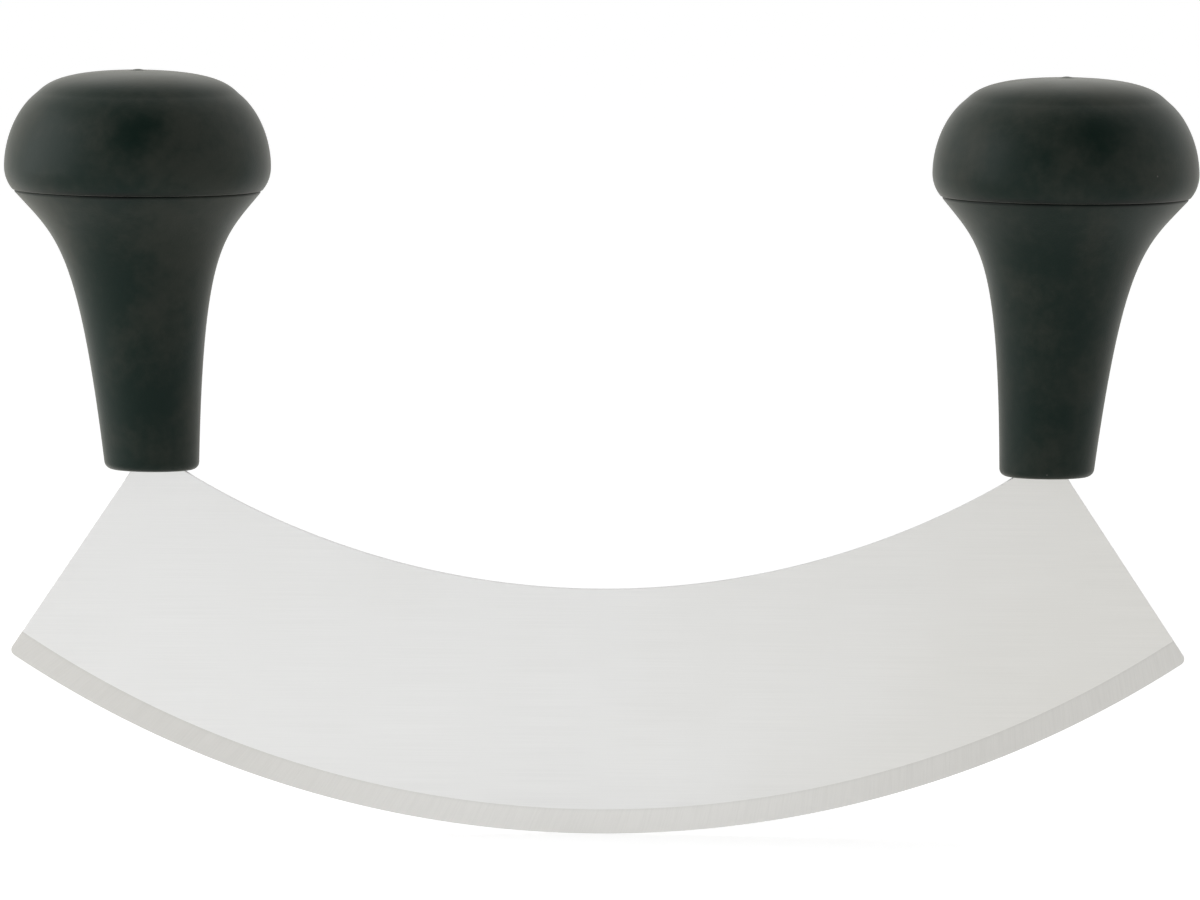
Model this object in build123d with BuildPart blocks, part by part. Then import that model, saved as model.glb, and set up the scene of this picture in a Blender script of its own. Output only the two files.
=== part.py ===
from build123d import *
from math import cos, radians, sin, sqrt, tan
import os

# A mezzaluna: one curved blade rocked by two knob handles.
# The origin is the lowest point of the cutting edge, with +X along the blade and +Z up to the knobs.
# Each handle has its own height scale, which starts at zero where its stem sits on the blade.
# The stem slants outwards from there, and carries its head level.

# Blade
edge_radius = 144.9
spine_radius = 109.3
blade_height = 33.6
blade_half_angle = 33.7
blade_thickness = 1.2
edge_thickness = 0.2
bevel_width = 3.4
tip_round = 0.95

# Tang, the narrow tongue that goes up into each handle
tang_width = 5.0
tang_thickness = 1.0
tang_end = 2.1
tang_root = 2.0
tang_corner = 0.8

# Where a handle stands on the blade's end
handle_lean = 3.3
handle_inset = 0.48
seat_depth = 3.1

# Outside of the handle
base_radius = 6.4
base_round = 1.1
base_flare = 3.95
mouth_flare = 40.4
head_radius = 18.15
head_widest = 41.25
rim_round = 4.85
shoulder_radius = 13.9
shoulder_rise = 9.85
shoulder_slope = 51.0
crown_rise = 3.25
base_pull_share = 0.815
mouth_pull_share = 0.224
shoulder_pull_share = 0.36
crown_edge_pull_share = 0.114
crown_top_pull_share = 0.826
seam_groove = 0.25
flare_levels = 12

# Inside of the stem
stem_wall = 2.2
stem_floor = 18.0
boss_radius = 4.6
boss_height = 27.0
rib_thickness = 1.2
rib_drop = 2.0
rib_count = 4
slot_clearance = 0.1

# Joint between the stem and the head cap
mouth_land = 4.5
spigot_length = 3.0
spigot_wall = 1.7
spigot_clearance = 0.1
spigot_end_clearance = 0.2
snap_bead = 0.35

# Inside of the head cap
crown_wall = 2.8
cap_land = 1.9
pocket_rise = 4.5
pocket_rib_thickness = 1.2
pocket_rib_count = 6
cavity_round = 2.0

# Moulding gate mark on top of the cap
dimple_radius = 1.7
dimple_depth = 0.2
pip_radius = 0.85
pip_rise = 0.5

# Hardware that locks the tang
washer_lap = 0.6
washer_thickness = 1.0
washer_edge = 0.12
pin_radius = 1.2
pin_wall = 0.4
pin_gap = 0.6
pin_length = 8.6
pin_clearance = 0.03

overrun = 1.0

# The spine's arc is centred a little under the cutting edge's, so the blade is highest at its middle.
spine_centre = blade_height + spine_radius
centre_offset = edge_radius - spine_centre
end_sin = sin(radians(blade_half_angle))
end_cos = cos(radians(blade_half_angle))
corner_reach = centre_offset * end_cos + sqrt(spine_radius**2 - (centre_offset * end_sin) ** 2)
tip_x = edge_radius * end_sin
tip_z = edge_radius * (1 - end_cos)
corner_x = corner_reach * end_sin
corner_z = edge_radius - corner_reach * end_cos

# A stem's middle line passes a little inside the blade's upper corner, and the seat lies below that corner.
lean_slope = tan(radians(handle_lean))
seat_x = corner_x - handle_inset - seat_depth * lean_slope
seat_z = corner_z - seat_depth

# The seam is where the stem's hollow flare turns into the head's round rim.
seam_radius = head_radius - rim_round * (1 - cos(radians(mouth_flare)))
seam_height = head_widest - rim_round * sin(radians(mouth_flare))
shoulder_height = head_widest + shoulder_rise
crown_height = shoulder_height + crown_rise
socket_radius = seam_radius - mouth_land
spigot_radius = socket_radius - spigot_clearance
spigot_end = seam_height - spigot_length
socket_floor = spigot_end - spigot_end_clearance
cavity_radius = spigot_radius - spigot_wall
cavity_top = crown_height - crown_wall - dimple_depth
pocket_radius = seam_radius - cap_land
pocket_width = pocket_radius - spigot_radius
pocket_depth = head_widest + pocket_rise - seam_height
bead_height = seam_height - spigot_length / 2
head_x = seat_x + lean_slope * seam_height

# The tang passes the stem's boss and the washer, and the pin crosses it just above them.
slot_width = tang_width + 2 * slot_clearance
slot_thickness = tang_thickness + 2 * slot_clearance
pin_height = boss_height + washer_thickness + pin_radius
tang_length = pin_height + pin_radius + tang_end
washer_x = seat_x + lean_slope * (boss_height + washer_thickness / 2)
pin_x = seat_x + lean_slope * pin_height

sides = {"left": -1, "right": 1}


def level(middle_x, height):
    """Level plane round an upright middle line, at a height over the seat."""
    return Plane(origin=(middle_x, 0, seat_z + height))


def upright(middle_x, turn=0):
    """Plane through an upright middle line, turned about it, with x across it and y up it."""
    across = Vector(cos(radians(turn)), sin(radians(turn)), 0)
    return Plane(origin=(middle_x, 0, seat_z), x_dir=across, z_dir=across.cross(Vector(0, 0, 1)))


def middle_line(middle_x):
    return Axis((middle_x, 0, seat_z), (0, 0, 1))


def strip_points(side, width, low, high):
    """Corners of a flat strip along a stem's slanting middle line, between two heights over the seat."""
    low_slide = side * lean_slope * low
    high_slide = side * lean_slope * high
    return [
        (low_slide - width / 2, low),
        (low_slide + width / 2, low),
        (high_slide + width / 2, high),
        (high_slide - width / 2, high),
    ]


def flare_points(depth):
    """Control points of the stem's flare, at a depth under its outer surface."""
    start_slope = radians(base_flare)
    end_slope = radians(mouth_flare)
    pull = base_pull_share * seam_height
    back = mouth_pull_share * seam_height
    start_in = (-depth * cos(start_slope), depth * sin(start_slope))
    end_in = (-depth * cos(end_slope), depth * sin(end_slope))
    return [
        (base_radius + start_in[0], start_in[1]),
        (base_radius + pull * tan(start_slope) + start_in[0], pull + start_in[1]),
        (seam_radius - back * sin(end_slope) + end_in[0], seam_height - back * cos(end_slope) + end_in[1]),
        (seam_radius + end_in[0], seam_height + end_in[1]),
    ]


def make_flare(side, depth):
    """Body inside the flare, at a depth under its surface: every level of it is round, and slides outwards."""
    with BuildLine():
        flare = Bezier(*flare_points(depth))
    with BuildPart() as body:
        for number in range(flare_levels + 1):
            point = flare @ (number / flare_levels)
            with BuildSketch(level(side * (seat_x + lean_slope * point.Y), point.Y)):
                Circle(point.X)
        loft()
    return body.part


# Blade: a ring segment of sheet with a bevelled cutting edge and two tangs
with BuildPart() as blade:
    with BuildSketch(Plane.XZ) as outline:
        with BuildLine():
            ThreePointArc((-tip_x, tip_z), (0, 0), (tip_x, tip_z))
            Line((tip_x, tip_z), (corner_x, corner_z))
            ThreePointArc((corner_x, corner_z), (0, blade_height), (-corner_x, corner_z))
            Line((-corner_x, corner_z), (-tip_x, tip_z))
        make_face()
        fillet(outline.vertices().group_by(Axis.Y)[0], radius=tip_round)
    extrude(amount=blade_thickness / 2, both=True)
    # Both faces are ground to a bevel that follows the cutting edge.
    for face_side in (-1, 1):
        with BuildSketch(Plane.YZ):
            with BuildLine():
                Polyline(
                    (face_side * edge_thickness / 2, 0),
                    (face_side * blade_thickness / 2, bevel_width),
                    (face_side * (blade_thickness / 2 + overrun), bevel_width),
                    (face_side * (blade_thickness / 2 + overrun), -overrun),
                    (face_side * edge_thickness / 2, -overrun),
                    close=True,
                )
            make_face()
        revolve(axis=Axis((0, 0, edge_radius), (0, 1, 0)), mode=Mode.SUBTRACT)
    for side in sides.values():
        # The sheet's full thickness ends at the seat, as a shoulder under the stem.
        with BuildSketch(upright(side * seat_x)):
            Rectangle(2 * base_radius, seat_depth + overrun, align=(Align.CENTER, Align.MIN))
        extrude(amount=blade_thickness, both=True, mode=Mode.SUBTRACT)
        # The tang slants along the middle line of its stem.
        with BuildSketch(upright(side * seat_x)) as tang:
            with BuildLine():
                Polyline(*strip_points(side, tang_width, -tang_root, tang_length), close=True)
            make_face()
            fillet(tang.vertices().group_by(Axis.Y)[-1], radius=tang_corner)
        extrude(amount=tang_thickness / 2, both=True)
        with BuildSketch(upright(side * pin_x)):
            with Locations((0, pin_height)):
                Circle(pin_radius + pin_clearance)
        extrude(amount=tang_thickness, both=True, mode=Mode.SUBTRACT)
blade.part.label = "blade"


def make_stem(side):
    foot_x = side * seat_x
    boss_x = side * washer_x
    with BuildPart() as hollow:
        add(make_flare(side, stem_wall))
        split(bisect_by=level(foot_x, stem_floor), keep=Keep.TOP)
        split(bisect_by=level(foot_x, spigot_end), keep=Keep.BOTTOM)
    # A boss round the tang carries the washer, and ribs tie it to the wall.
    with BuildPart() as core:
        for number in range(rib_count):
            turn = (number + 0.5) * 360 / rib_count
            with BuildSketch(upright(boss_x, turn)):
                with Locations((0, stem_floor)):
                    Rectangle(head_radius, boss_height - rib_drop - stem_floor, align=(Align.MIN, Align.MIN))
            extrude(amount=rib_thickness / 2, both=True)
        add(make_flare(side, stem_wall / 2), mode=Mode.INTERSECT)
        with BuildSketch(level(boss_x, stem_floor)):
            Circle(boss_radius)
        extrude(amount=boss_height - stem_floor)
    with BuildPart() as stem:
        add(make_flare(side, 0))
        fillet(stem.edges().group_by(Axis.Z)[0], radius=base_round)
        # The stem is solid up to a floor and hollow above it, and a thick land round its mouth holds the socket.
        add(hollow.part, mode=Mode.SUBTRACT)
        add(core.part)
        with BuildSketch(upright(foot_x)):
            with BuildLine():
                Polyline(*strip_points(side, slot_width, -overrun, boss_height + overrun), close=True)
            make_face()
        extrude(amount=slot_thickness / 2, both=True, mode=Mode.SUBTRACT)
        # The socket is upright under the head. It has a groove for the snap bead, and the seam a fine V outside.
        with BuildSketch(upright(side * head_x)):
            with Locations((0, socket_floor)):
                Rectangle(socket_radius, seam_height - socket_floor + overrun, align=(Align.MIN, Align.MIN))
            with Locations((spigot_radius, bead_height)):
                Circle(snap_bead + spigot_clearance)
            with Locations((seam_radius, seam_height)):
                Rectangle(seam_groove, seam_groove, rotation=45)
        revolve(axis=middle_line(side * head_x), mode=Mode.SUBTRACT)
    return stem


def make_cap(side):
    middle_x = side * head_x
    with BuildPart() as cap:
        # The rim is an arc, and the shoulder and crown are two smooth curves that meet on one slope.
        with BuildSketch(upright(middle_x)):
            slope_sin = sin(radians(shoulder_slope))
            slope_cos = cos(radians(shoulder_slope))
            under_pull = shoulder_pull_share * shoulder_rise
            over_pull = crown_edge_pull_share * shoulder_radius
            with BuildLine():
                Line((0, seam_height), (seam_radius, seam_height))
                CenterArc(
                    center=(head_radius - rim_round, head_widest),
                    radius=rim_round,
                    start_angle=-mouth_flare,
                    arc_size=mouth_flare,
                )
                Bezier(
                    (head_radius, head_widest),
                    (head_radius, head_widest + under_pull),
                    (shoulder_radius + under_pull * slope_sin, shoulder_height - under_pull * slope_cos),
                    (shoulder_radius, shoulder_height),
                )
                Bezier(
                    (shoulder_radius, shoulder_height),
                    (shoulder_radius - over_pull * slope_sin, shoulder_height + over_pull * slope_cos),
                    (crown_top_pull_share * shoulder_radius, crown_height),
                    (0, crown_height),
                )
                Line((0, crown_height), (0, seam_height))
            make_face()
        revolve(axis=middle_line(middle_x))
        # A ring pocket from below leaves an even wall between the outer skin and the spigot.
        with BuildSketch(upright(middle_x)):
            with Locations((spigot_radius, seam_height)):
                Rectangle(pocket_width, pocket_depth, align=(Align.MIN, Align.MIN))
        revolve(axis=middle_line(middle_x), mode=Mode.SUBTRACT)
        with BuildSketch(level(middle_x, seam_height)):
            with PolarLocations(spigot_radius + pocket_width / 2, pocket_rib_count):
                Rectangle(pocket_width + cap_land, pocket_rib_thickness)
        extrude(amount=pocket_depth)
        # The spigot drops into the stem's socket and carries the snap bead.
        with BuildSketch(upright(middle_x)):
            with Locations((0, spigot_end)):
                Rectangle(spigot_radius, spigot_length, align=(Align.MIN, Align.MIN))
            with Locations((spigot_radius, bead_height)):
                Circle(snap_bead)
        revolve(axis=middle_line(middle_x))
        with BuildSketch(upright(middle_x)) as hollow:
            with Locations((0, spigot_end - overrun)):
                Rectangle(cavity_radius, cavity_top - spigot_end + overrun, align=(Align.MIN, Align.MIN))
            fillet(hollow.vertices().group_by(Axis.Y)[-1].sort_by(Axis.X)[-1], radius=cavity_round)
        revolve(axis=middle_line(middle_x), mode=Mode.SUBTRACT)
        with BuildSketch(upright(middle_x)):
            with Locations((seam_radius, seam_height)):
                Rectangle(seam_groove, seam_groove, rotation=45)
        revolve(axis=middle_line(middle_x), mode=Mode.SUBTRACT)
        # The gate left a small pip, which stands in a shallow dimple.
        with BuildSketch(level(middle_x, crown_height - dimple_depth)):
            Circle(dimple_radius)
        extrude(amount=dimple_depth + overrun, mode=Mode.SUBTRACT)
        with BuildSketch(level(middle_x, crown_height - dimple_depth)):
            Circle(pip_radius)
        extrude(amount=dimple_depth + pip_rise)
    return cap


def make_washer(side):
    with BuildPart() as washer:
        with BuildSketch(level(side * washer_x, boss_height)):
            Circle(boss_radius + washer_lap)
            Rectangle(slot_width, slot_thickness, mode=Mode.SUBTRACT)
        extrude(amount=washer_thickness)
        chamfer(washer.edges().filter_by(GeomType.CIRCLE), length=washer_edge)
    return washer


def make_pin(side):
    with BuildPart() as pin:
        with BuildSketch(upright(side * pin_x)):
            with Locations((0, pin_height)):
                Circle(pin_radius)
                Circle(pin_radius - pin_wall, mode=Mode.SUBTRACT)
            # The rolled sheet leaves a gap along the top.
            with Locations((0, pin_height + pin_radius)):
                Rectangle(pin_gap, 2 * pin_radius, mode=Mode.SUBTRACT)
        extrude(amount=pin_length / 2, both=True)
    return pin


# Write one file for each piece
os.makedirs("parts", exist_ok=True)
export_step(blade.part, "parts/blade.step")
makers = {
    "grip_stem": make_stem,
    "head_cap": make_cap,
    "tang_washer": make_washer,
    "tang_pin": make_pin,
}
for side_name, side in sides.items():
    for piece_name, make_piece in makers.items():
        piece = make_piece(side)
        piece.part.label = f"{side_name}_{piece_name}"
        export_step(piece.part, f"parts/{piece.part.label}.step")
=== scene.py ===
# Mezzaluna: one curved steel blade between two black plastic knob handles.
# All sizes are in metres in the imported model's frame, where the cutting edge stands on z = 0.
from math import asin, cos, pi, radians, sin, sqrt, tan

import bmesh
import bpy
from mathutils import Matrix, Vector


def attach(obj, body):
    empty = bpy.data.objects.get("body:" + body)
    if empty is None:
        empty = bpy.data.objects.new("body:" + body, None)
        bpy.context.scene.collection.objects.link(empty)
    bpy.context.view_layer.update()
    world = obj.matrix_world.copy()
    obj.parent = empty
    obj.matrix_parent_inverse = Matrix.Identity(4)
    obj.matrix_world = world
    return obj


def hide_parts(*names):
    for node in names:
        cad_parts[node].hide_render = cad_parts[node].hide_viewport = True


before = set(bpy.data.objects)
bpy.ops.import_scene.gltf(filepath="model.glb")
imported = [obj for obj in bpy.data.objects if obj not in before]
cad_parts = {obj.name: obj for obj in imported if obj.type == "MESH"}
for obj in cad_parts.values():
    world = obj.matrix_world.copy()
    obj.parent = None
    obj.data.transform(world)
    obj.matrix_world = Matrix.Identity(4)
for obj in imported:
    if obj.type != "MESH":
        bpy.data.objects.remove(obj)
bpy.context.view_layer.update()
print("frame loaded:", len(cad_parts), "CAD nodes")

mm = 0.001
pickReach = 0.1 * mm          # a point this near to a line or level is taken to be on it
mergeDistance = 0.001 * mm
sides = {"left": -1, "right": 1}


# Tools of the bench
def openPrimitive(name, addPrimitive, **settings):
    bpy.ops.object.select_all(action="DESELECT")
    addPrimitive(**settings)
    piece = bpy.context.object
    piece.name = piece.data.name = name
    bpy.ops.object.mode_set(mode="EDIT")
    bpy.ops.mesh.select_mode(type="VERT")
    bpy.ops.mesh.select_all(action="SELECT")
    return piece


def closePiece(piece):
    bpy.ops.object.mode_set(mode="OBJECT")
    return piece


def pickPoints(test):
    # selects the points whose place passes the test, with the edges and faces between them
    bpy.ops.mesh.select_mode(type="VERT")
    bpy.ops.mesh.select_all(action="DESELECT")
    mesh = bpy.context.edit_object.data
    shape = bmesh.from_edit_mesh(mesh)
    for point in shape.verts:
        point.select = bool(test(point.co))
    shape.select_flush(True)
    bmesh.update_edit_mesh(mesh)


def extrudeTo(points, start):
    # draws on from the selected point, one extrusion for each new point
    last = start
    for point in points:
        bpy.ops.mesh.extrude_vertices_move(TRANSFORM_OT_translate={"value": point - last})
        last = point


def useModifier(piece, kind, **settings):
    modifier = piece.modifiers.new(kind.lower(), kind)
    for setting, value in settings.items():
        setattr(modifier, setting, value)
    bpy.context.view_layer.objects.active = piece
    bpy.ops.object.modifier_apply(modifier=modifier.name)


def cutWith(piece, tool, operation="DIFFERENCE"):
    useModifier(piece, "BOOLEAN", operation=operation, object=tool, solver="EXACT")
    bpy.data.objects.remove(tool)


def copyPiece(master, name):
    piece = master.copy()
    piece.data = master.data.copy()
    piece.name = piece.data.name = name
    bpy.context.collection.objects.link(piece)
    return piece


def makeBox(name, size, centre):
    box = openPrimitive(name, bpy.ops.mesh.primitive_cube_add, size=1)
    bpy.ops.transform.resize(value=size)
    bpy.ops.transform.translate(value=centre)
    return closePiece(box)


def smoothBelow(piece, angle):
    bpy.ops.object.select_all(action="DESELECT")
    piece.select_set(True)
    bpy.context.view_layer.objects.active = piece
    bpy.ops.object.shade_smooth_by_angle(angle=angle)


def mirrored(point, side):
    return Vector((point.x * side, point.y, point.z))


# Blade
blade = {
    "edgeRadius": 144.9 * mm,
    "spineRadius": 109.3 * mm,
    "height": 33.6 * mm,
    "halfAngle": radians(33.7),
    "thickness": 1.2 * mm,
    "edgeThickness": 0.2 * mm,
    "bevelWidth": 3.4 * mm,
    "arcSteps": 128,
    "tipRound": 0.95 * mm,
    "tipSteps": 12,
    "easing": 0.03 * mm,          # the sheared edges are only just broken
    "easingSteps": 2,
    "easedAngle": radians(40),    # edges sharper than this are eased
    "smoothAngle": radians(8),    # less than the bevel's turn, so its line stays crisp
    "flatFacing": 0.999,          # how squarely a face of the flat looks along y
    "bevelFacing": 0.95,          # and a face of the bevel
}

tang = {
    "width": 5.0 * mm,
    "thickness": 1.0 * mm,
    "root": 2.0 * mm,             # below the seat, inside the sheet
    "length": 32.5 * mm,          # above the seat
    "corner": 0.8 * mm,
    "cornerSteps": 6,
    "holeRadius": 1.23 * mm,
    "holeHeight": 29.2 * mm,
    "holeSides": 48,
}

# a handle is drawn upright, with heights from its seat on the blade;
# its stem then slants outwards and its head stays level
handle = {
    "lean": radians(3.3),
    "inset": 0.48 * mm,
    "seatDepth": 3.1 * mm,
    "spinSteps": 128,
    "smoothAngle": radians(30),
}

# where the arcs of the blade meet, and where the right handle stands
edgeCentre = Vector((0, 0, blade["edgeRadius"]))
spineCentre = Vector((0, 0, blade["height"] + blade["spineRadius"]))
bevelLineRadius = blade["edgeRadius"] - blade["bevelWidth"]
endDown = Vector((sin(blade["halfAngle"]), 0, -cos(blade["halfAngle"])))   # along the end, to the edge
centreGap = (edgeCentre - spineCentre).z
cornerReach = centreGap * cos(blade["halfAngle"]) + sqrt(
    blade["spineRadius"] ** 2 - (centreGap * sin(blade["halfAngle"])) ** 2)
tip = edgeCentre + endDown * blade["edgeRadius"]
bevelEnd = edgeCentre + endDown * bevelLineRadius
upperCorner = edgeCentre + endDown * cornerReach
leanSlope = tan(handle["lean"])
seat = upperCorner - Vector((handle["inset"] + handle["seatDepth"] * leanSlope, 0, handle["seatDepth"]))


def drawArc(centre, halfAngle):
    # what is selected at the left end is spun over to the right end
    bpy.ops.mesh.spin(steps=blade["arcSteps"], angle=2 * halfAngle, center=centre, axis=(0, 1, 0))


def makeBlade():
    sheet = openPrimitive("bladeSheet", bpy.ops.mesh.primitive_plane_add, size=mm)
    # the bevelled strip: from the tip up to the bevel's line, spun along the cutting edge
    bpy.ops.mesh.merge(type="CENTER")
    bpy.ops.transform.translate(value=mirrored(tip, -1))
    extrudeTo([mirrored(bevelEnd, -1)], mirrored(tip, -1))
    bpy.ops.mesh.select_all(action="SELECT")
    drawArc(edgeCentre, blade["halfAngle"])
    # the spine is an arc of its own, and the flat face bridges the two
    bpy.ops.mesh.select_all(action="DESELECT")
    bpy.ops.mesh.primitive_plane_add(size=mm)
    bpy.ops.mesh.merge(type="CENTER")
    bpy.ops.transform.translate(value=mirrored(upperCorner, -1))
    drawArc(spineCentre, asin(upperCorner.x / blade["spineRadius"]))
    pickPoints(lambda p: (p - edgeCentre).length < bevelLineRadius + pickReach)
    bpy.ops.mesh.bridge_edge_loops()
    # the upper corners end square to each handle, as a shoulder under its stem
    for side in sides.values():
        pickPoints(lambda p: p.x * side > seat.x / 2)
        bpy.ops.mesh.bisect(
            plane_co=mirrored(seat, side), plane_no=(0, 0, 1), clear_outer=True, use_fill=False)
    closePiece(sheet)
    useModifier(sheet, "SOLIDIFY", thickness=blade["thickness"], offset=0, use_even_offset=True)
    # the grind thins the sheet towards the cutting edge
    bpy.ops.object.mode_set(mode="EDIT")
    pickPoints(lambda p: Vector((p.x, 0, p.z - edgeCentre.z)).length > blade["edgeRadius"] - pickReach)
    bpy.ops.transform.resize(
        value=(1, blade["edgeThickness"] / blade["thickness"], 1), center_override=(0, 0, 0))
    pickPoints(lambda p: abs(abs(p.x) - tip.x) < pickReach and abs(p.z - tip.z) < pickReach)
    bpy.ops.mesh.bevel(
        offset=blade["tipRound"], segments=blade["tipSteps"], affect="EDGES", profile=0.5)
    bpy.ops.mesh.select_all(action="SELECT")
    bpy.ops.mesh.normals_make_consistent(inside=False)
    closePiece(sheet)
    useModifier(
        sheet, "BEVEL", width=blade["easing"], segments=blade["easingSteps"],
        limit_method="ANGLE", angle_limit=blade["easedAngle"])
    return sheet


def makeTang():
    # upright, with its root below the seat
    height = tang["root"] + tang["length"]
    piece = makeBox(
        "tang", (tang["width"], tang["thickness"], height), (0, 0, height / 2 - tang["root"]))
    bpy.ops.object.mode_set(mode="EDIT")
    pickPoints(lambda p: p.z > tang["length"] - pickReach)
    bpy.ops.mesh.select_mode(type="EDGE")
    mesh = bpy.context.edit_object.data
    shape = bmesh.from_edit_mesh(mesh)
    for edge in shape.edges:      # only the two short edges across the end
        along = edge.verts[0].co - edge.verts[1].co
        edge.select = edge.select and abs(along.y) > abs(along.x)
    shape.select_flush(False)
    bmesh.update_edit_mesh(mesh)
    bpy.ops.mesh.bevel(
        offset=tang["corner"], segments=tang["cornerSteps"], affect="EDGES", profile=0.5)
    closePiece(piece)
    hole = openPrimitive(
        "pinHole", bpy.ops.mesh.primitive_cylinder_add, radius=tang["holeRadius"],
        depth=3 * tang["thickness"], vertices=tang["holeSides"])
    bpy.ops.transform.rotate(value=pi / 2, orient_axis="X", center_override=(0, 0, 0))
    bpy.ops.transform.translate(value=(0, 0, tang["holeHeight"]))
    closePiece(hole)
    cutWith(piece, hole)
    return piece


# Handles
stem = {
    "baseRadius": 6.4 * mm,
    "baseRound": 1.1 * mm,
    "baseFlare": radians(3.95),
    "mouthFlare": radians(40.4),
    "basePullShare": 0.815,
    "mouthPullShare": 0.224,
    "wall": 2.2 * mm,
    "floor": 18.0 * mm,
    "bossRadius": 4.6 * mm,
    "bossHeight": 27.0 * mm,
    "ribThickness": 1.2 * mm,
    "ribDrop": 2.0 * mm,
    "ribTurns": (radians(45), radians(-45)),
    "slotGap": 0.1 * mm,
    "socketInset": 4.5 * mm,
    "socketDepth": 3.2 * mm,
    "footSteps": 8,
    "flareSteps": 40,
    "wallSteps": 16,
}

cap = {
    "headRadius": 18.15 * mm,
    "widestHeight": 41.25 * mm,
    "rimRound": 4.85 * mm,
    "shoulderRadius": 13.9 * mm,
    "shoulderHeight": 51.1 * mm,
    "shoulderSlope": radians(51),
    "shoulderPull": 3.55 * mm,
    "crownHeight": 54.35 * mm,
    "crownEdgePull": 1.58 * mm,
    "crownTopPull": 11.48 * mm,
    "crownStride": 0.001,         # share of the crown's curve, in the search for where the dish begins
    "seamEdge": 0.22 * mm,        # rounding of the two lips that meet at the seam
    "spigotGap": 0.1 * mm,
    "spigotLength": 3.0 * mm,
    "spigotWall": 1.7 * mm,
    "beadRadius": 0.35 * mm,
    "land": 1.9 * mm,
    "pocketTop": 45.75 * mm,
    "cavityTop": 51.35 * mm,
    "cavityRound": 2.0 * mm,
    "ribThickness": 1.2 * mm,
    "ribCount": 6,
    "ribLift": 0.2 * mm,          # keeps the ribs' faces out of the plane of the seam
    "dimpleRadius": 2.1 * mm,     # the gate mark on top: a low pip in a shallow dish
    "dimpleDepth": 0.06 * mm,
    "dimpleSlope": 0.4 * mm,
    "pipFoot": 1.6 * mm,
    "pipRise": 0.17 * mm,
    "pipSteps": 10,
    "curveSteps": 28,
    "rimSteps": 14,
    "lipSteps": 4,
    "beadSteps": 6,
    "cavitySteps": 6,
}

# the seam between stem and cap, where the flare turns into the round rim
seamRadius = cap["headRadius"] - cap["rimRound"] * (1 - cos(stem["mouthFlare"]))
seamHeight = cap["widestHeight"] - cap["rimRound"] * sin(stem["mouthFlare"])
lipRoom = 2 * cap["seamEdge"]     # how far from the seam the rounding of a lip begins
socketRadius = seamRadius - stem["socketInset"]
socketFloor = seamHeight - stem["socketDepth"]
spigotRadius = socketRadius - cap["spigotGap"]
pocketRadius = seamRadius - cap["land"]


# outlines are lists of points: distance from the axis, 0, height
def out(radius, height):
    return Vector((radius, 0, height))


def onCurve(a, b, c, d, t):
    rest = 1 - t
    return a * rest ** 3 + b * 3 * rest ** 2 * t + c * 3 * rest * t ** 2 + d * t ** 3


def curvePoints(ends, start, stop, steps):
    return [onCurve(*ends, start + (stop - start) * n / steps) for n in range(steps + 1)]


def stationAt(ends, height, halvings=40):
    # how far along a rising curve it reaches a height
    low = 0.0
    high = 1.0
    for _ in range(halvings):
        middle = (low + high) / 2
        if onCurve(*ends, middle).z < height:
            low = middle
        else:
            high = middle
    return low


def arcPoints(centre, radius, start, stop, steps):
    turns = [start + (stop - start) * n / steps for n in range(steps + 1)]
    return [centre + Vector((cos(turn), 0, sin(turn))) * radius for turn in turns]


def roundCorner(before, at, after, radius, steps):
    # the arc that rounds one corner of an outline
    back = (before - at).normalized()
    ahead = (after - at).normalized()
    half = back.angle(ahead) / 2
    centre = at + (back + ahead).normalized() * radius / sin(half)
    start = (at + back * radius / tan(half) - centre).normalized()
    stop = (at + ahead * radius / tan(half) - centre).normalized()
    return [centre + start.slerp(stop, n / steps) * radius for n in range(steps + 1)]


def spinOutline(name, outline):
    piece = openPrimitive(name, bpy.ops.mesh.primitive_plane_add, size=mm)
    bpy.ops.mesh.merge(type="CENTER")
    bpy.ops.transform.translate(value=outline[0])
    extrudeTo(outline[1:], outline[0])
    bpy.ops.mesh.select_all(action="SELECT")
    bpy.ops.mesh.spin(steps=handle["spinSteps"], angle=2 * pi, center=(0, 0, 0), axis=(0, 0, 1))
    bpy.ops.mesh.select_all(action="SELECT")
    bpy.ops.mesh.remove_doubles(threshold=mergeDistance)
    bpy.ops.mesh.normals_make_consistent(inside=False)
    return closePiece(piece)


def flareEnds(depth):
    # control points of the stem's flare, at a depth under its outer surface
    low = stem["baseFlare"]
    high = stem["mouthFlare"]
    pull = stem["basePullShare"] * seamHeight
    back = stem["mouthPullShare"] * seamHeight
    lowIn = out(-cos(low), sin(low)) * depth
    highIn = out(-cos(high), sin(high)) * depth
    return (
        out(stem["baseRadius"], 0) + lowIn,
        out(stem["baseRadius"] + pull * tan(low), pull) + lowIn,
        out(seamRadius - back * sin(high), seamHeight - back * cos(high)) + highIn,
        out(seamRadius, seamHeight) + highIn,
    )


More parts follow.
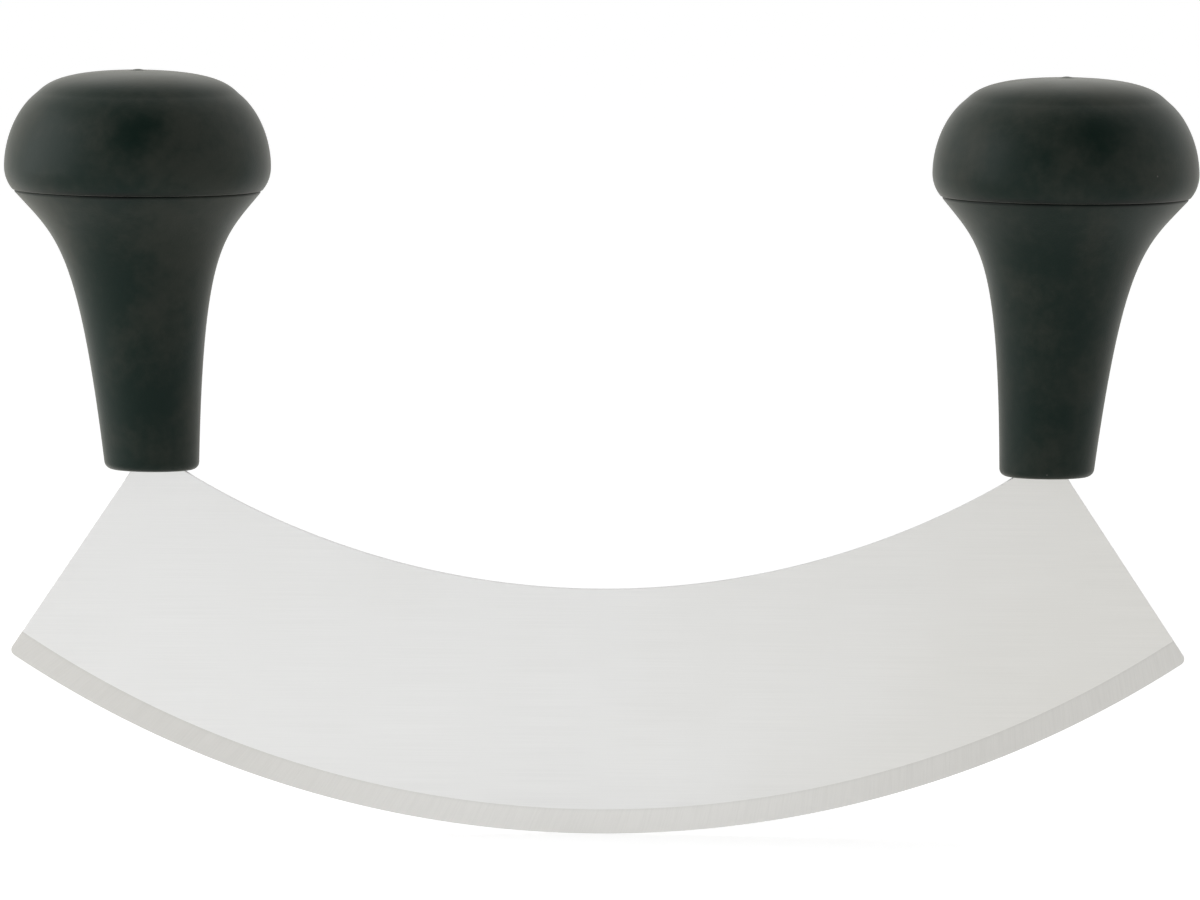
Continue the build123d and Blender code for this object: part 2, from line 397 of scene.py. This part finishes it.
def stemOutline():
    outside = flareEnds(0)
    inside = flareEnds(stem["wall"])
    foot = stem["baseRound"]
    footCentre = out(
        stem["baseRadius"] + foot * tan(stem["baseFlare"]) - foot / cos(stem["baseFlare"]), foot)
    seam = out(seamRadius, seamHeight)
    lip = out(socketRadius, seamHeight)
    ledge = out(socketRadius, socketFloor)
    outline = [out(0, 0)]
    outline += arcPoints(footCentre, foot, radians(-90), -stem["baseFlare"], stem["footSteps"])
    outline += curvePoints(
        outside, stationAt(outside, foot), stationAt(outside, seamHeight - lipRoom), stem["flareSteps"])
    outline += roundCorner(outline[-1], seam, lip, cap["seamEdge"], cap["lipSteps"])
    outline += roundCorner(seam, lip, ledge, cap["seamEdge"], cap["lipSteps"])
    outline += [ledge]
    outline += curvePoints(
        inside, stationAt(inside, socketFloor), stationAt(inside, stem["floor"]), stem["wallSteps"])
    outline += [
        out(stem["bossRadius"], stem["floor"]),
        out(stem["bossRadius"], stem["bossHeight"]),
        out(0, stem["bossHeight"]),
    ]
    return outline


def makeStem():
    piece = spinOutline("gripStem", stemOutline())
    # ribs tie the boss to the wall
    low = stem["floor"]
    high = stem["bossHeight"] - stem["ribDrop"]
    middle = flareEnds(stem["wall"] / 2)
    for turn in stem["ribTurns"]:
        rib = openPrimitive("rib", bpy.ops.mesh.primitive_cube_add, size=1)
        bpy.ops.transform.resize(value=(1, stem["ribThickness"], high - low))
        bpy.ops.transform.translate(value=(0, 0, (high + low) / 2))
        for height in (low, high):
            reach = onCurve(*middle, stationAt(middle, height)).x
            pickPoints(lambda p: abs(p.z - height) < pickReach)
            bpy.ops.transform.resize(value=(2 * reach, 1, 1), center_override=(0, 0, 0))
        bpy.ops.mesh.select_all(action="SELECT")
        bpy.ops.transform.rotate(value=turn, orient_axis="Z", center_override=(0, 0, 0))
        closePiece(rib)
        cutWith(piece, rib, "UNION")
    slot = makeBox(
        "slot",
        (tang["width"] + 2 * stem["slotGap"], tang["thickness"] + 2 * stem["slotGap"],
         2 * stem["bossHeight"]),
        (0, 0, stem["bossHeight"] / 2))
    cutWith(piece, slot)
    return piece


def capOutline():
    shoulder = out(cap["shoulderRadius"], cap["shoulderHeight"])
    slope = out(sin(cap["shoulderSlope"]), -cos(cap["shoulderSlope"]))
    crown = (
        out(0, cap["crownHeight"]),
        out(cap["crownTopPull"], cap["crownHeight"]),
        shoulder - slope * cap["crownEdgePull"],
        shoulder,
    )
    widest = out(cap["headRadius"], cap["widestHeight"])
    side = (
        shoulder,
        shoulder + slope * cap["shoulderPull"],
        widest + out(0, cap["shoulderPull"]),
        widest,
    )
    # the gate mark, the crown, the side and the rim, down to the seam
    dimpleFloor = cap["crownHeight"] - cap["dimpleDepth"]
    pipHalf = (cap["pipRise"] + cap["dimpleDepth"]) / 2
    outline = []
    for n in range(cap["pipSteps"] + 1):
        share = n / cap["pipSteps"]
        outline.append(out(cap["pipFoot"] * share, dimpleFloor + pipHalf * (1 + cos(pi * share))))
    outline.append(out(cap["dimpleRadius"] - cap["dimpleSlope"], dimpleFloor))
    crownStart = 0.0
    while onCurve(*crown, crownStart).x < cap["dimpleRadius"] + cap["dimpleSlope"]:
        crownStart += cap["crownStride"]
    outline += curvePoints(crown, crownStart, 1, cap["curveSteps"])
    outline += curvePoints(side, 0, 1, cap["curveSteps"])[1:]
    rimCentre = out(cap["headRadius"] - cap["rimRound"], cap["widestHeight"])
    rimEnd = lipRoom / cap["rimRound"] - stem["mouthFlare"]
    outline += arcPoints(rimCentre, cap["rimRound"], 0, rimEnd, cap["rimSteps"])[1:]
    seam = out(seamRadius, seamHeight)
    lip = out(pocketRadius, seamHeight)
    outline += roundCorner(outline[-1], seam, lip, cap["seamEdge"], cap["lipSteps"])
    # the ring pocket, the spigot with its snap bead, and the cavity
    outline += [lip, out(pocketRadius, cap["pocketTop"]), out(spigotRadius, cap["pocketTop"])]
    beadCentre = out(spigotRadius, seamHeight - cap["spigotLength"] / 2)
    outline += arcPoints(beadCentre, cap["beadRadius"], radians(90), radians(-90), cap["beadSteps"])
    spigotEnd = seamHeight - cap["spigotLength"]
    cavityRadius = spigotRadius - cap["spigotWall"]
    outline += [out(spigotRadius, spigotEnd), out(cavityRadius, spigotEnd)]
    cavityCorner = out(cavityRadius, cap["cavityTop"])
    ceiling = out(0, cap["cavityTop"])
    outline += roundCorner(outline[-1], cavityCorner, ceiling, cap["cavityRound"], cap["cavitySteps"])
    outline += [ceiling]
    return outline


def makeCap():
    piece = spinOutline("headCap", capOutline())
    # short ribs across the ring pocket keep its skin round
    low = seamHeight + cap["ribLift"]
    high = cap["pocketTop"] + cap["ribLift"]
    ribs = openPrimitive("ribs", bpy.ops.mesh.primitive_cube_add, size=1)
    bpy.ops.transform.resize(
        value=(pocketRadius - spigotRadius + cap["land"], cap["ribThickness"], high - low))
    bpy.ops.transform.translate(value=((pocketRadius + spigotRadius) / 2, 0, (low + high) / 2))
    spacing = 2 * pi / cap["ribCount"]
    for _ in range(cap["ribCount"] - 1):
        bpy.ops.mesh.duplicate()
        bpy.ops.transform.rotate(value=spacing, orient_axis="Z", center_override=(0, 0, 0))
    closePiece(ribs)
    cutWith(piece, ribs, "UNION")
    return piece


def setOnBlade(piece, side, staysUpright):
    # slides every level of a piece out to the slanting middle line of its handle;
    # the head and the socket stay upright, on the seam's place
    for point in piece.data.vertices:
        radius = Vector((point.co.x, point.co.y)).length
        inSocket = point.co.z > socketFloor - pickReach and radius < socketRadius + cap["seamEdge"]
        height = seamHeight if staysUpright or inSocket else point.co.z
        point.co.x += side * (seat.x + leanSlope * height)
        point.co.z += seat.z
    piece.data.update()


# Materials
noiseSpan = (0.3, 0.7)            # nearly all that noise gives lies between these
noiseCore = (0.35, 0.65)          # and most of it between these
unchanging = 1                    # in metres, so long that a pattern is the same all through a piece


def newMaterial(name, metallic):
    material = bpy.data.materials.new(name)
    material.use_nodes = True
    shader = material.node_tree.nodes["Principled BSDF"]
    shader.inputs["Metallic"].default_value = metallic
    return material, material.node_tree, shader


def addNode(tree, kind, inputs, **settings):
    # each input is given a fixed value, or the output that feeds it
    node = tree.nodes.new(kind)
    for setting, value in settings.items():
        setattr(node, setting, value)
    for slot, value in inputs.items():
        if isinstance(value, bpy.types.NodeSocket):
            tree.links.new(value, node.inputs[slot])
        else:
            node.inputs[slot].default_value = value
    return node


def calculate(tree, operation, *values):
    return addNode(tree, "ShaderNodeMath", dict(enumerate(values)), operation=operation).outputs[0]


def objectPlace(tree):
    return addNode(tree, "ShaderNodeTexCoord", {}).outputs["Object"]


def alongAxes(tree, place):
    return addNode(tree, "ShaderNodeSeparateXYZ", {0: place}).outputs


def stretched(tree, place, sizes):
    # coordinates in which one unit is one mark of the given length, depth and height
    inputs = {0: place, 1: [1 / size for size in sizes]}
    return addNode(tree, "ShaderNodeVectorMath", inputs, operation="MULTIPLY").outputs[0]


def noise(tree, place, detail=2.0):
    inputs = {"Vector": place, "Scale": 1, "Detail": detail}
    return addNode(tree, "ShaderNodeTexNoise", inputs).outputs["Fac"]


def remap(tree, value, fromLow, fromHigh, toLow, toHigh):
    inputs = {0: value, 1: fromLow, 2: fromHigh, 3: toLow, 4: toHigh}
    return addNode(tree, "ShaderNodeMapRange", inputs, interpolation_type="SMOOTHSTEP").outputs[0]


def blendColours(tree, share, first, second):
    # each colour is three numbers, or the output of an earlier blend
    colours = [c if isinstance(c, bpy.types.NodeSocket) else (*c, 1) for c in (first, second)]
    inputs = {0: share, 6: colours[0], 7: colours[1]}
    return addNode(tree, "ShaderNodeMix", inputs, data_type="RGBA").outputs[2]


def darkened(tree, share, colour):
    return blendColours(tree, share, colour, (0, 0, 0))


def dress(tree, shader, colour, roughness, height, depth):
    # colour, roughness and fine relief, from what the pattern nodes give
    bump = addNode(tree, "ShaderNodeBump", {"Strength": 1, "Distance": depth, "Height": height})
    tree.links.new(colour, shader.inputs["Base Color"])
    tree.links.new(roughness, shader.inputs["Roughness"])
    tree.links.new(bump.outputs[0], shader.inputs["Normal"])


plastic = {
    "coolBlack": (0.0010, 0.0096, 0.0064),
    "warmBlack": (0.0195, 0.0242, 0.0186),
    "toneSpan": (0.48, 0.95),       # from the coolest patches to the warmest
    "patchSize": 10 * mm,
    "patchDetail": 1.5,
    "patchPlace": Vector((31, 17, 5)) * mm,     # shifts the patches, to choose where they fall
    "mottleSize": 1.6 * mm,
    "mottleShare": 0.3,
    "skinSize": 0.25 * mm,          # the spark-eroded skin that the mould leaves
    "skinDetail": 3,
    "skinDepth": 0.012 * mm,
    "roughness": (0.45, 0.55),
    "palmRoughness": -0.05,         # the head is rubbed smoother by the palm
    "specular": 0.13,
    "sheen": 0.26,
    "sheenRoughness": 0.42,
    "sheenTint": (1.0, 0.98, 0.86),
    "seamShade": 0.8 * mm,          # how far the painted shade of the seam reaches
    "seamShadeStrength": (1.0, 0.3),
    "seamShadeColour": (0.0004, 0.0026, 0.0018),
    "dustSpacing": 11 * mm,
    "dustSize": 0.16 * mm,
    "dustColour": (0.075, 0.075, 0.068),
}


def makeGripPlastic():
    material, tree, shader = newMaterial("gripPlastic", 0)
    shader.inputs["Specular IOR Level"].default_value = plastic["specular"]
    shader.inputs["Sheen Weight"].default_value = plastic["sheen"]
    shader.inputs["Sheen Roughness"].default_value = plastic["sheenRoughness"]
    shader.inputs["Sheen Tint"].default_value = (*plastic["sheenTint"], 1)
    place = objectPlace(tree)
    height = calculate(tree, "SUBTRACT", alongAxes(tree, place)["Z"], seat.z)
    # cool and warm patches, with a finer mottle over them
    moved = addNode(
        tree, "ShaderNodeVectorMath", {0: place, 1: plastic["patchPlace"]}, operation="ADD").outputs[0]
    patches = noise(tree, stretched(tree, moved, [plastic["patchSize"]] * 3), plastic["patchDetail"])
    mottle = noise(tree, stretched(tree, place, [plastic["mottleSize"]] * 3))
    tone = calculate(tree, "ADD", patches, calculate(tree, "MULTIPLY", mottle, plastic["mottleShare"]))
    warmth = remap(tree, tone, *plastic["toneSpan"], 0, 1)
    colour = blendColours(tree, warmth, plastic["coolBlack"], plastic["warmBlack"])
    # painted shade: a soft dark band along the joint between stem and cap, where the groove's shade falls
    fromSeam = calculate(tree, "ABSOLUTE", calculate(tree, "SUBTRACT", height, seamHeight))
    shade = remap(tree, fromSeam, 0, plastic["seamShade"], 1, 0)
    strength = remap(tree, patches, *noiseCore, *plastic["seamShadeStrength"])
    shade = calculate(tree, "MULTIPLY", shade, strength)
    colour = blendColours(tree, shade, colour, plastic["seamShadeColour"])
    # a few specks of dust
    cells = {"Vector": stretched(tree, place, [plastic["dustSpacing"]] * 3), "Scale": 1}
    nearest = addNode(tree, "ShaderNodeTexVoronoi", cells).outputs["Distance"]
    speck = plastic["dustSize"] / plastic["dustSpacing"]
    dust = remap(tree, nearest, speck / 2, speck, 1, 0)
    colour = blendColours(tree, dust, colour, plastic["dustColour"])
    rough = remap(tree, patches, *noiseSpan, *plastic["roughness"])
    palm = remap(tree, height, seamHeight, cap["widestHeight"], 0, plastic["palmRoughness"])
    skin = noise(tree, stretched(tree, place, [plastic["skinSize"]] * 3), plastic["skinDetail"])
    dress(tree, shader, colour, calculate(tree, "ADD", rough, palm), skin, plastic["skinDepth"])
    return material


flatSteel = {
    "light": (0.824, 0.824, 0.814),     # painted light: the blade's colour left of the middle, where more light falls
    "dark": (0.740, 0.730, 0.695),      # painted shade: the blade's colour towards the right end, where less light falls
    "paintedLightPlace": -12 * mm,
    "paintedShadePlace": 90 * mm,
    "cloudSize": 28 * mm,
    "cloudTone": (-0.08, 0.08),
    "grainLength": 16 * mm,
    "grainWidth": 0.11 * mm,
    "grainDetail": 4,
    "grainDepth": 0.0012 * mm,
    "grainTone": 0.022,
    "roughness": (0.30, 0.35),
}


def makeFlatSteel():
    # brushed lengthwise, in streaks much longer than they are wide
    material, tree, shader = newMaterial("bladeFlat", 1)
    place = objectPlace(tree)
    # painted light and shade: the flat is lighter left of the middle and darker towards the right end, as
    # the light falls; a random cloud lies over it
    fall = remap(tree, alongAxes(tree, place)["X"], flatSteel["paintedLightPlace"], flatSteel["paintedShadePlace"], 0, 1)
    cloud = noise(tree, stretched(tree, place, [flatSteel["cloudSize"]] * 3))
    share = calculate(tree, "ADD", fall, remap(tree, cloud, *noiseCore, *flatSteel["cloudTone"]))
    colour = blendColours(tree, share, flatSteel["light"], flatSteel["dark"])
    sizes = (flatSteel["grainLength"], unchanging, flatSteel["grainWidth"])
    streaks = noise(tree, stretched(tree, place, sizes), flatSteel["grainDetail"])
    colour = darkened(tree, remap(tree, streaks, *noiseSpan, 0, flatSteel["grainTone"]), colour)
    rough = remap(tree, streaks, *noiseSpan, *flatSteel["roughness"])
    dress(tree, shader, colour, rough, streaks, flatSteel["grainDepth"])
    return material


bevelSteel = {
    # painted shade: the bevel's colour darkens from its middle towards its ends
    "middle": (0.742, 0.736, 0.714),
    "end": (0.628, 0.619, 0.593),
    "turns": (radians(3), radians(26)),     # from the middle's colour to the painted shade at the end's
    "borderShadeTone": 0.045,                      # painted shade: a darker line along the bevel's upper border
    "borderShadeWidth": 0.6 * mm,
    "markWidth": 0.22 * mm,                 # scratches of the grinding wheel, across the bevel
    "markLength": 5 * mm,
    "markSlantShare": 0.35,
    "markDetail": 4,
    "markDepth": 0.0004 * mm,
    "markSpan": (0.35, 0.75),
    "markTone": 0.03,
    "roughness": (0.42, 0.47),
}


def makeBevelSteel():
    # the wheel's marks cross the strip, so they are laid out along the cutting edge's arc
    material, tree, shader = newMaterial("groundBevel", 1)
    axes = alongAxes(tree, objectPlace(tree))
    down = calculate(tree, "SUBTRACT", edgeCentre.z, axes["Z"])
    turn = calculate(tree, "ARCTAN2", axes["X"], down)
    squares = [calculate(tree, "POWER", length, 2) for length in (axes["X"], down)]
    reach = calculate(tree, "SQRT", calculate(tree, "ADD", *squares))
    along = calculate(tree, "MULTIPLY", turn, blade["edgeRadius"])
    slanted = calculate(
        tree, "ADD", along, calculate(tree, "MULTIPLY", reach, bevelSteel["markSlantShare"]))
    onStrip = addNode(tree, "ShaderNodeCombineXYZ", {"X": slanted, "Y": axes["Y"], "Z": reach}).outputs[0]
    sizes = (bevelSteel["markWidth"], unchanging, bevelSteel["markLength"])
    marks = noise(tree, stretched(tree, onStrip, sizes), bevelSteel["markDetail"])
    # painted shade, darker towards the bevel's ends
    share = remap(tree, calculate(tree, "ABSOLUTE", turn), *bevelSteel["turns"], 0, 1)
    colour = blendColours(tree, share, bevelSteel["middle"], bevelSteel["end"])
    tone = remap(tree, marks, *bevelSteel["markSpan"], 0, bevelSteel["markTone"])
    colour = darkened(tree, tone, colour)
    # painted shade along the bevel's upper border
    borderShadeEnd = bevelLineRadius + bevelSteel["borderShadeWidth"]
    borderShade = remap(tree, reach, bevelLineRadius, borderShadeEnd, bevelSteel["borderShadeTone"], 0)
    colour = darkened(tree, borderShade, colour)
    rough = remap(tree, marks, *noiseSpan, *bevelSteel["roughness"])
    dress(tree, shader, colour, rough, marks, bevelSteel["markDepth"])
    return material


edgeSteel = {
    "dark": (0.80, 0.80, 0.79),
    "light": (0.86, 0.86, 0.85),
    "tearWidth": 0.22 * mm,
    "tearLength": 1.32 * mm,        # across the sheet's thickness
    "tearDetail": 3,
    "tearDepth": 0.0004 * mm,
    "roughness": (0.4, 0.5),
}


def makeEdgeSteel():
    # the punch leaves short marks across the sheet's thickness
    material, tree, shader = newMaterial("shearedEdge", 1)
    sizes = (edgeSteel["tearWidth"], edgeSteel["tearLength"], edgeSteel["tearWidth"])
    tears = noise(tree, stretched(tree, objectPlace(tree), sizes), edgeSteel["tearDetail"])
    colour = blendColours(
        tree, remap(tree, tears, *noiseCore, 0, 1), edgeSteel["dark"], edgeSteel["light"])
    rough = remap(tree, tears, *noiseSpan, *edgeSteel["roughness"])
    dress(tree, shader, colour, rough, tears, edgeSteel["tearDepth"])
    return material


fastenerSteel = {
    "dark": (0.50, 0.51, 0.52),
    "light": (0.66, 0.67, 0.68),
    "turningLength": 1.6 * mm,
    "turningWidth": 0.2 * mm,
    "turningDetail": 3,
    "turningDepth": 0.0012 * mm,
    "roughness": (0.25, 0.42),
}


def makeFastenerSteel():
    # washer and pin, turned and tumbled bright
    material, tree, shader = newMaterial("fastenerSteel", 1)
    sizes = (fastenerSteel["turningLength"], fastenerSteel["turningWidth"], fastenerSteel["turningWidth"])
    turned = noise(tree, stretched(tree, objectPlace(tree), sizes), fastenerSteel["turningDetail"])
    colour = blendColours(
        tree, remap(tree, turned, *noiseSpan, 0, 1), fastenerSteel["dark"], fastenerSteel["light"])
    rough = remap(tree, turned, *noiseSpan, *fastenerSteel["roughness"])
    dress(tree, shader, colour, rough, turned, fastenerSteel["turningDepth"])
    return material


def dressBlade(sheet):
    # flat, bevel and sheared edge are told apart by how squarely their faces look along y
    for material in (makeFlatSteel(), makeBevelSteel(), makeEdgeSteel()):
        sheet.data.materials.append(material)
    for face in sheet.data.polygons:
        facing = abs(face.normal.y)
        if facing > blade["flatFacing"]:
            face.material_index = 0
        elif facing > blade["bevelFacing"]:
            face.material_index = 1
        else:
            face.material_index = 2


# Build the pieces
sheet = makeBlade()
tangMaster = makeTang()
for sideName, side in sides.items():
    oneTang = copyPiece(tangMaster, sideName + "Tang")
    setOnBlade(oneTang, side, False)
    cutWith(sheet, oneTang, "UNION")
bpy.data.objects.remove(tangMaster)
smoothBelow(sheet, blade["smoothAngle"])
dressBlade(sheet)
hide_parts("blade")
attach(sheet, "root")
print("blade made:", len(sheet.data.polygons), "faces")

stemMaster = makeStem()
capMaster = makeCap()
print("handle made:", len(stemMaster.data.polygons), "stem faces,",
      len(capMaster.data.polygons), "cap faces")

gripPlastic = makeGripPlastic()
handlePieces = {"grip_stem": (stemMaster, "GripStem"), "head_cap": (capMaster, "HeadCap")}
for sideName, side in sides.items():
    for nodeName, (master, pieceName) in handlePieces.items():
        piece = copyPiece(master, sideName + pieceName)
        setOnBlade(piece, side, master is capMaster)
        smoothBelow(piece, handle["smoothAngle"])
        piece.data.materials.append(gripPlastic)
        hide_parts(f"{sideName}_{nodeName}")
        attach(piece, "root")
for master in (stemMaster, capMaster):
    bpy.data.objects.remove(master)
print("handles set on the blade")

fastenerFinish = makeFastenerSteel()
for sideName in sides:
    for nodeName in ("tang_washer", "tang_pin"):
        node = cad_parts[f"{sideName}_{nodeName}"]
        node.data.materials.clear()
        node.data.materials.append(fastenerFinish)
print("fasteners dressed")


# Studio
studio = {
    "floorSize": 30,
    "floorColour": 0.8,
    "floorLift": 0.44,              # brings the bare floor up to white for the camera
    "fill": 0.7,                    # what the world adds to matte surfaces
    "darkAzimuth": radians(14),     # the opening above the camera
    "darkElevation": radians(45),
    "darkInner": radians(25),
    "darkOuter": radians(55),
    "darkLevel": 0.05,
    "white": (1, 1, 1, 1),
    "lampAim": Vector((0, 0, 60)) * mm,
}


def makeFloor():
    # pale and matte from above, and clear from below
    bpy.ops.object.select_all(action="DESELECT")
    bpy.ops.mesh.primitive_plane_add(size=studio["floorSize"])
    floor = bpy.context.object
    floor.name = "floor"
    material = bpy.data.materials.new("paleFloor")
    material.use_nodes = True
    tree = material.node_tree
    tree.nodes.clear()
    rays = addNode(tree, "ShaderNodeLightPath", {}).outputs
    seen = calculate(tree, "MAXIMUM", rays["Is Camera Ray"], rays["Is Glossy Ray"])
    lift = calculate(tree, "MULTIPLY", seen, studio["floorLift"])
    matte = addNode(tree, "ShaderNodeBsdfDiffuse", {"Color": (*[studio["floorColour"]] * 3, 1)})
    glow = addNode(tree, "ShaderNodeEmission", {"Color": studio["white"], "Strength": lift})
    above = addNode(tree, "ShaderNodeAddShader", {0: matte.outputs[0], 1: glow.outputs[0]}).outputs[0]
    below = addNode(tree, "ShaderNodeBsdfTransparent", {}).outputs[0]
    backfacing = addNode(tree, "ShaderNodeNewGeometry", {}).outputs["Backfacing"]
    shown = addNode(tree, "ShaderNodeMixShader", {0: backfacing, 1: above, 2: below}).outputs[0]
    addNode(tree, "ShaderNodeOutputMaterial", {"Surface": shown})
    floor.data.materials.append(material)


def whiteGlow(tree, strength):
    inputs = {"Color": studio["white"], "Strength": strength}
    return addNode(tree, "ShaderNodeBackground", inputs).outputs[0]


def makeWorld():
    # white to the camera; what shines sees a white tent with a dark opening above the camera
    world = bpy.data.worlds.new("studio")
    bpy.context.scene.world = world
    world.use_nodes = True
    tree = world.node_tree
    tree.nodes.clear()
    rays = addNode(tree, "ShaderNodeLightPath", {}).outputs
    toward = addNode(tree, "ShaderNodeTexCoord", {}).outputs["Generated"]
    dark = Vector((sin(studio["darkAzimuth"]) * cos(studio["darkElevation"]),
                   -cos(studio["darkAzimuth"]) * cos(studio["darkElevation"]),
                   sin(studio["darkElevation"])))
    near = addNode(
        tree, "ShaderNodeVectorMath", {0: toward, 1: dark}, operation="DOT_PRODUCT").outputs["Value"]
    level = remap(tree, near, cos(studio["darkOuter"]), cos(studio["darkInner"]), 1, studio["darkLevel"])
    shiny = calculate(tree, "MAXIMUM", rays["Is Glossy Ray"], rays["Is Transmission Ray"])
    light = {0: shiny, 1: whiteGlow(tree, studio["fill"]), 2: whiteGlow(tree, level)}
    lit = addNode(tree, "ShaderNodeMixShader", light).outputs[0]
    view = {0: rays["Is Camera Ray"], 1: lit, 2: whiteGlow(tree, 1)}
    shown = addNode(tree, "ShaderNodeMixShader", view).outputs[0]
    addNode(tree, "ShaderNodeOutputWorld", {"Surface": shown})


lamps = {
    "leftBox": {"place": Vector((-0.6, -0.08, 0.24)), "size": 0.6, "power": 2.7},
    "rightBox": {"place": Vector((1.1, 0.3, 0.45)), "size": 1.0, "power": 0.4},
}


def addLamp(name, place, size, power):
    bpy.ops.object.select_all(action="DESELECT")
    bpy.ops.object.light_add(type="AREA", location=place)
    lamp = bpy.context.object
    lamp.name = name
    lamp.data.shape = "SQUARE"
    lamp.data.size = size
    lamp.data.energy = power
    lamp.rotation_euler = (studio["lampAim"] - place).to_track_quat("-Z", "Y").to_euler()


camera = {
    "aim": Vector((0.08, 0, 52.57)) * mm,
    "distance": 1505.7 * mm,
    "elevation": radians(4.65),
    "roll": radians(0.47),
    "lens": 331.6,
    "sensor": 36,
}


def makeCamera():
    bpy.ops.object.camera_add()
    seen = bpy.context.object
    back = Vector((0, -cos(camera["elevation"]), sin(camera["elevation"])))
    seen.location = camera["aim"] + back * camera["distance"]
    turn = (-back).to_track_quat("-Z", "Y").to_matrix().to_4x4() @ Matrix.Rotation(camera["roll"], 4, "Z")
    seen.rotation_euler = turn.to_euler()
    seen.data.lens = camera["lens"]
    seen.data.sensor_width = camera["sensor"]
    bpy.context.scene.camera = seen


makeFloor()
makeWorld()
for lampName, settings in lamps.items():
    addLamp(lampName, **settings)
makeCamera()
bpy.context.scene.view_settings.view_transform = "Standard"
print("studio set")
